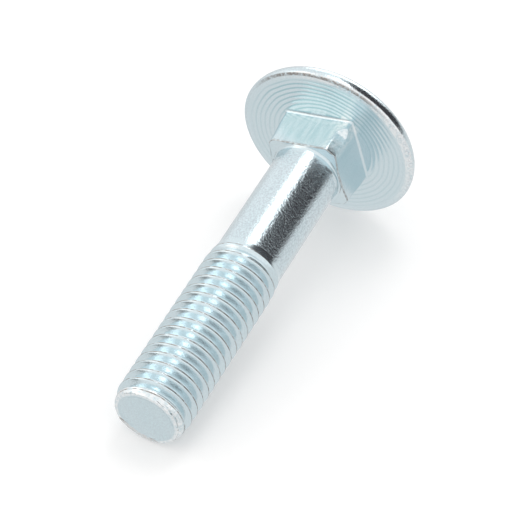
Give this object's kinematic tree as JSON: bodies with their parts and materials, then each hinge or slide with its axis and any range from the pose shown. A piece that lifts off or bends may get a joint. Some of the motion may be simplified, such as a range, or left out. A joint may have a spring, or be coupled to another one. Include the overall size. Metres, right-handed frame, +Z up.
{
  "type": "carriage bolt",
  "caption": "Carriage bolt with a round domed head, a square neck that bites into timber, a plain shank and a coarse rolled thread.",
  "frame": {"origin": "on the table under the middle of the lying bolt's bounding box", "axes": "+Z up, +X along the lying bolt from the thread's tip to the head, +Y across it; the bolt's own axis rises towards the head by about 8 degrees in the XZ plane, because the bolt lies on its head's rim and its thread"},
  "size_m": [0.0554, 0.0242, 0.024],
  "materials": {
    "zinc_plated_steel": "bright blue-white zinc plating, satin, with fine drawn and turned marks"
  },
  "bodies": {
    "root": {"carriage_bolt": "zinc_plated_steel"}
  },
  "joints": []
}
